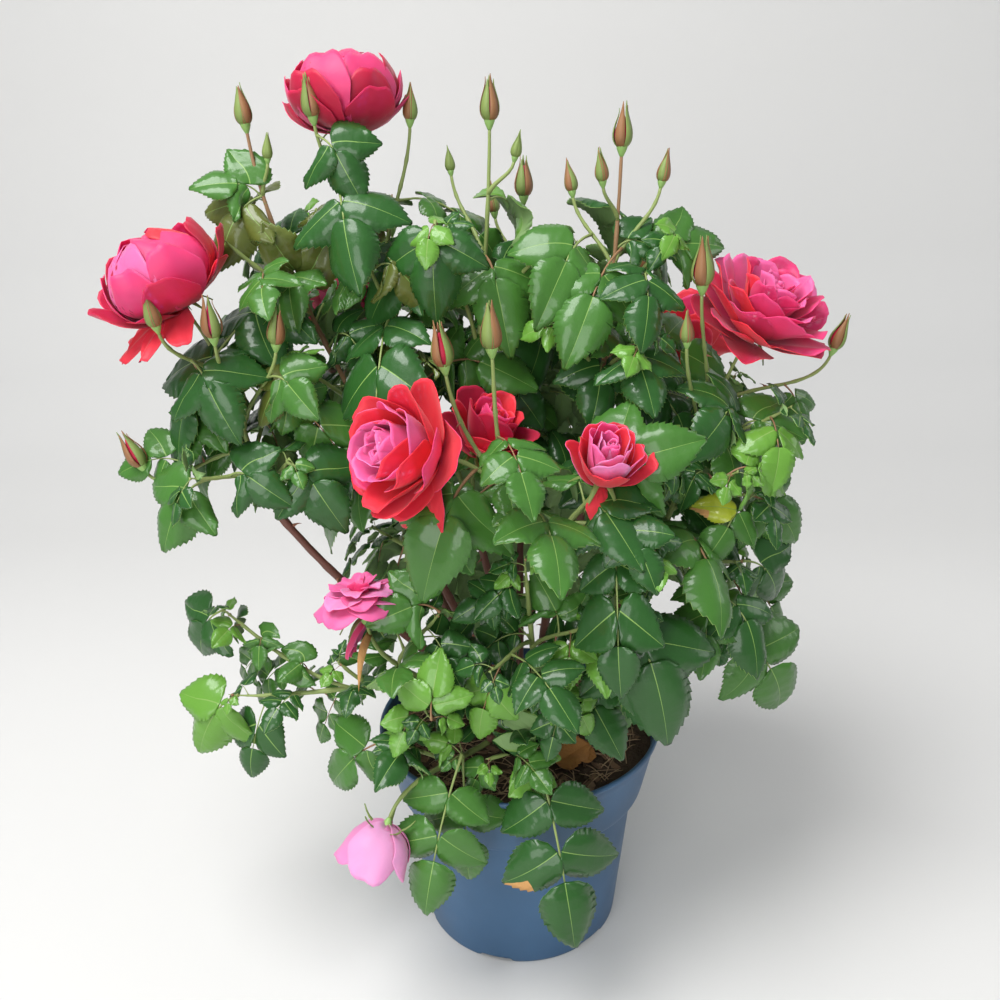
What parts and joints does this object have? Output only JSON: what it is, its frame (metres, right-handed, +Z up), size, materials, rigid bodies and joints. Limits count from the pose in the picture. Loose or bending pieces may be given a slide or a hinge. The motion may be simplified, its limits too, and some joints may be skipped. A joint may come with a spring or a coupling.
{
  "type": "potted rose bush",
  "caption": "Bush rose in flower in a round tapered plastic pot, with branching canes, compound leaves, double blooms and buds.",
  "frame": {"origin": "centre of the pot's flat underside, where it stands on the floor", "axes": "+Z up, +X to the viewer's right and +Y away from the viewer of the picture"},
  "size_m": [0.5121, 0.3846, 0.6612],
  "materials": {
    "pot": "moulded slate-blue plastic, semi-matte",
    "soil": "dry fibrous bark compost, matte",
    "knob": "rough corky bark",
    "cane": "smooth red-brown to green bark",
    "foliage": "glossy leaf upper side, paler matte underside"
  },
  "bodies": {
    "root": {"cane_back": "cane", "cane_back_left": "cane", "cane_back_right": "cane", "cane_centre": "cane", "cane_front": "cane", "cane_front_low": "cane", "cane_left": "cane", "cane_left_low": "cane", "cane_right": "cane", "cane_top": "cane", "cane_top_left": "cane", "cane_top_right": "cane", "foliage_back": "foliage", "foliage_back_left": "foliage", "foliage_back_left_low": "foliage", "foliage_back_low": "foliage", "foliage_back_right": "foliage", "foliage_back_right_low": "foliage", "foliage_centre_left": "foliage", "foliage_centre_right": "foliage", "foliage_front": "foliage", "foliage_front_left": "foliage", "foliage_heart": "foliage", "foliage_heart_left": "foliage", "foliage_heart_right": "foliage", "foliage_left": "foliage", "foliage_left_low": "foliage", "foliage_right": "foliage", "foliage_right_low": "foliage", "foliage_top": "foliage", "foliage_top_left": "foliage", "foliage_top_middle": "foliage", "foliage_top_right": "foliage", "graft_knob": "knob", "pot": "pot", "soil": "soil"}
  },
  "joints": []
}
